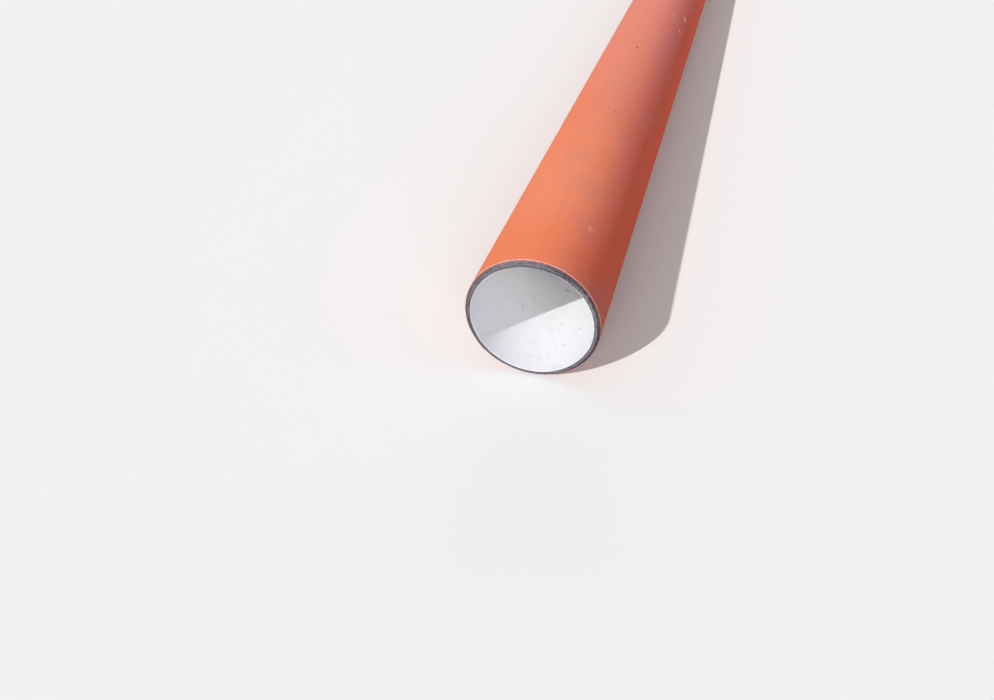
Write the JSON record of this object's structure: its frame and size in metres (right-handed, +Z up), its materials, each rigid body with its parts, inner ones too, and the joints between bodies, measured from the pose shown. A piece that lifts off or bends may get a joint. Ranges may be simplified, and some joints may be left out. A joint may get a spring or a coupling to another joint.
{
  "type": "polypropylene sewer pipe",
  "caption": "Straight plain-ended sewer pipe with an orange skin, dark core wall and white liner, bevelled at both ends, lying on its side.",
  "frame": {"origin": "centre of the near end's cut face, on the pipe's own line", "axes": "+Y along the pipe from the near end to the far end, +Z up as the pipe lies on its side"},
  "size_m": [0.315, 6, 0.315],
  "materials": {
    "orange_skin": "smooth extruded orange polypropylene, satin, lightly scuffed and dusty",
    "dark_core": "dark grey mineral-filled polypropylene, bare where sawn and bevelled",
    "white_liner": "smooth extruded white polypropylene with a little dirt near the mouth"
  },
  "bodies": {
    "root": {"outer_skin": "orange_skin", "core_wall": "dark_core", "inner_liner": "white_liner"}
  },
  "joints": []
}
